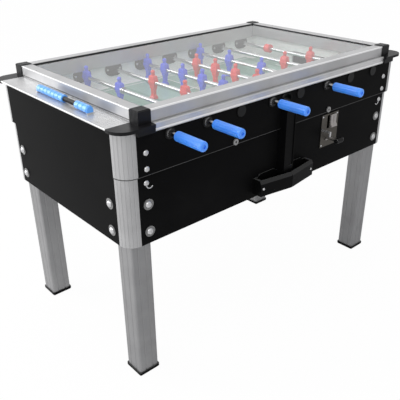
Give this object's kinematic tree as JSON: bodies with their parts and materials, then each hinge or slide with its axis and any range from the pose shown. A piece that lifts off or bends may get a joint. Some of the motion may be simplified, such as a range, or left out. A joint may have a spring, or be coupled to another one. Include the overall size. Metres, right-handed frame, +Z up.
{
  "type": "coin-operated foosball table",
  "caption": "Black and silver table football cabinet on square metal legs, with a glass top, telescopic rods, a coin slide, a ball return and bead score counters.",
  "frame": {"origin": "on the floor under the middle of the table", "axes": "+X along the table with the coin plate right of the middle, +Y from the front with the ball tray to the back, +Z up"},
  "size_m": [1.434, 1.098, 0.985],
  "materials": {
    "leg_aluminium": "satin anodised extrusion",
    "column_aluminium": "satin anodised extrusion",
    "rail_aluminium": "satin anodised extrusion",
    "cap_plastic": "moulded black plastic, satin",
    "black_laminate": "semi-gloss black laminate on board",
    "black_plastic": "moulded black plastic",
    "bearing_plastic": "nylon",
    "fixing_steel": "polished zinc plate",
    "coin_plate_steel": "brushed",
    "coin_slide_steel": "ground",
    "rod_steel": "polished",
    "field_laminate": "printed laminate with plain bands and lines",
    "white_laminate": "smooth",
    "clear_glass": "toughened, clear",
    "near_team_plastic": "moulded",
    "far_team_plastic": "moulded",
    "near_grip_plastic": "moulded",
    "far_grip_plastic": "moulded"
  },
  "bodies": {
    "lower_cabinet": {"legs": "leg_aluminium", "foot_caps": "black_plastic", "lower_columns": "column_aluminium", "lower_panels": "black_laminate", "lower_fixings": "fixing_steel", "ball_return": "black_plastic", "coin_plate": "coin_plate_steel", "ball_runs": "black_plastic"},
    "upper_cabinet": {"upper_columns": "column_aluminium", "upper_panels": "black_laminate", "playfield": "field_laminate", "inner_walls": "white_laminate", "ball_guides": "black_plastic", "rod_bearings": "bearing_plastic", "top_rails": "rail_aluminium", "corner_caps": "cap_plastic", "glass_frame": "rail_aluminium", "glass_pane": "clear_glass", "upper_fixings": "fixing_steel", "score_bars": "black_plastic"},
    "coin_slide": {"coin_slide": "coin_slide_steel"},
    "ball_gate": {"ball_gate": "coin_slide_steel"},
    "beads_left_far": {"score_beads_left_far": "near_team_plastic"},
    "beads_left_near": {"score_beads_left_near": "near_team_plastic"},
    "beads_right_far": {"score_beads_right_far": "far_team_plastic"},
    "beads_right_near": {"score_beads_right_near": "far_team_plastic"},
    "lock_left": {"lid_lock_left": "fixing_steel"},
    "lock_right": {"lid_lock_right": "fixing_steel"},
    "rod1_core": {"rod1_inner": "rod_steel"},
    "rod1_player": {"rod1_tube": "rod_steel", "rod1_men": "near_team_plastic", "rod1_grip": "near_grip_plastic"},
    "rod2_core": {"rod2_inner": "rod_steel"},
    "rod2_player": {"rod2_tube": "rod_steel", "rod2_men": "near_team_plastic", "rod2_grip": "near_grip_plastic"},
    "rod3_core": {"rod3_inner": "rod_steel"},
    "rod3_player": {"rod3_tube": "rod_steel", "rod3_men": "far_team_plastic", "rod3_grip": "far_grip_plastic"},
    "rod4_core": {"rod4_inner": "rod_steel"},
    "rod4_player": {"rod4_tube": "rod_steel", "rod4_men": "near_team_plastic", "rod4_grip": "near_grip_plastic"},
    "rod5_core": {"rod5_inner": "rod_steel"},
    "rod5_player": {"rod5_tube": "rod_steel", "rod5_men": "far_team_plastic", "rod5_grip": "far_grip_plastic"},
    "rod6_core": {"rod6_inner": "rod_steel"},
    "rod6_player": {"rod6_tube": "rod_steel", "rod6_men": "near_team_plastic", "rod6_grip": "near_grip_plastic"},
    "rod7_core": {"rod7_inner": "rod_steel"},
    "rod7_player": {"rod7_tube": "rod_steel", "rod7_men": "far_team_plastic", "rod7_grip": "far_grip_plastic"},
    "rod8_core": {"rod8_inner": "rod_steel"},
    "rod8_player": {"rod8_tube": "rod_steel", "rod8_men": "far_team_plastic", "rod8_grip": "far_grip_plastic"}
  },
  "joints": [
    {"name": "lid_hinge", "type": "hinge", "parent": "lower_cabinet", "child": "upper_cabinet", "pos_m": [0, 0.3985, 0.783], "axis": [-1, 0, 0], "range_deg": [0, 60]},
    {"name": "coin_push", "type": "slide", "parent": "lower_cabinet", "child": "coin_slide", "axis": [0, 1, 0], "range_m": [0, 0.035]},
    {"name": "gate_turn", "type": "hinge", "parent": "lower_cabinet", "child": "ball_gate", "pos_m": [0, -0.3, 0.64499], "axis": [-1, 0, 0], "range_deg": [0, 60]},
    {"name": "beads_left_far_slide", "type": "slide", "parent": "upper_cabinet", "child": "beads_left_far", "axis": [0, 1, 0], "range_m": [-0.037, 0]},
    {"name": "beads_left_near_slide", "type": "slide", "parent": "upper_cabinet", "child": "beads_left_near", "axis": [0, 1, 0], "range_m": [0, 0.037]},
    {"name": "beads_right_far_slide", "type": "slide", "parent": "upper_cabinet", "child": "beads_right_far", "axis": [0, 1, 0], "range_m": [-0.037, 0]},
    {"name": "beads_right_near_slide", "type": "slide", "parent": "upper_cabinet", "child": "beads_right_near", "axis": [0, 1, 0], "range_m": [0, 0.037]},
    {"name": "lock_left_turn", "type": "hinge", "parent": "upper_cabinet", "child": "lock_left", "pos_m": [-0.25, -0.37, 0.795], "axis": [0, 1, 0], "range_deg": [0, 90]},
    {"name": "lock_right_turn", "type": "hinge", "parent": "upper_cabinet", "child": "lock_right", "pos_m": [0.25, -0.37, 0.795], "axis": [0, 1, 0], "range_deg": [0, 90]},
    {"name": "rod1_spin", "type": "hinge", "parent": "upper_cabinet", "child": "rod1_core", "pos_m": [-0.525, 0, 0.897], "axis": [0, 1, 0], "continuous": true},
    {"name": "rod1_pull", "type": "slide", "parent": "rod1_core", "child": "rod1_player", "axis": [0, -1, 0], "range_m": [0, 0.148]},
    {"name": "rod2_spin", "type": "hinge", "parent": "upper_cabinet", "child": "rod2_core", "pos_m": [-0.375, 0, 0.897], "axis": [0, 1, 0], "continuous": true},
    {"name": "rod2_pull", "type": "slide", "parent": "rod2_core", "child": "rod2_player", "axis": [0, -1, 0], "range_m": [0, 0.416]},
    {"name": "rod3_spin", "type": "hinge", "parent": "upper_cabinet", "child": "rod3_core", "pos_m": [-0.225, 0, 0.897], "axis": [0, 1, 0], "continuous": true},
    {"name": "rod3_pull", "type": "slide", "parent": "rod3_core", "child": "rod3_player", "axis": [0, 1, 0], "range_m": [-0.018, 0.238]},
    {"name": "rod4_spin", "type": "hinge", "parent": "upper_cabinet", "child": "rod4_core", "pos_m": [-0.075, 0, 0.897], "axis": [0, 1, 0], "continuous": true},
    {"name": "rod4_pull", "type": "slide", "parent": "rod4_core", "child": "rod4_player", "axis": [0, -1, 0], "range_m": [0, 0.176]},
    {"name": "rod5_spin", "type": "hinge", "parent": "upper_cabinet", "child": "rod5_core", "pos_m": [0.075, 0, 0.897], "axis": [0, 1, 0], "continuous": true},
    {"name": "rod5_pull", "type": "slide", "parent": "rod5_core", "child": "rod5_player", "axis": [0, 1, 0], "range_m": [-0.018, 0.147]},
    {"name": "rod6_spin", "type": "hinge", "parent": "upper_cabinet", "child": "rod6_core", "pos_m": [0.225, 0, 0.897], "axis": [0, 1, 0], "continuous": true},
    {"name": "rod6_pull", "type": "slide", "parent": "rod6_core", "child": "rod6_player", "axis": [0, -1, 0], "range_m": [0, 0.264]},
    {"name": "rod7_spin", "type": "hinge", "parent": "upper_cabinet", "child": "rod7_core", "pos_m": [0.375, 0, 0.897], "axis": [0, 1, 0], "continuous": true},
    {"name": "rod7_pull", "type": "slide", "parent": "rod7_core", "child": "rod7_player", "axis": [0, 1, 0], "range_m": [-0.018, 0.378]},
    {"name": "rod8_spin", "type": "hinge", "parent": "upper_cabinet", "child": "rod8_core", "pos_m": [0.525, 0, 0.897], "axis": [0, 1, 0], "continuous": true},
    {"name": "rod8_pull", "type": "slide", "parent": "rod8_core", "child": "rod8_player", "axis": [0, 1, 0], "range_m": [-0.002, 0.146]}
  ],
  "couplings": [
    {"joint": "gate_turn", "follows": "coin_push", "rad_per_m": 29.5}
  ]
}
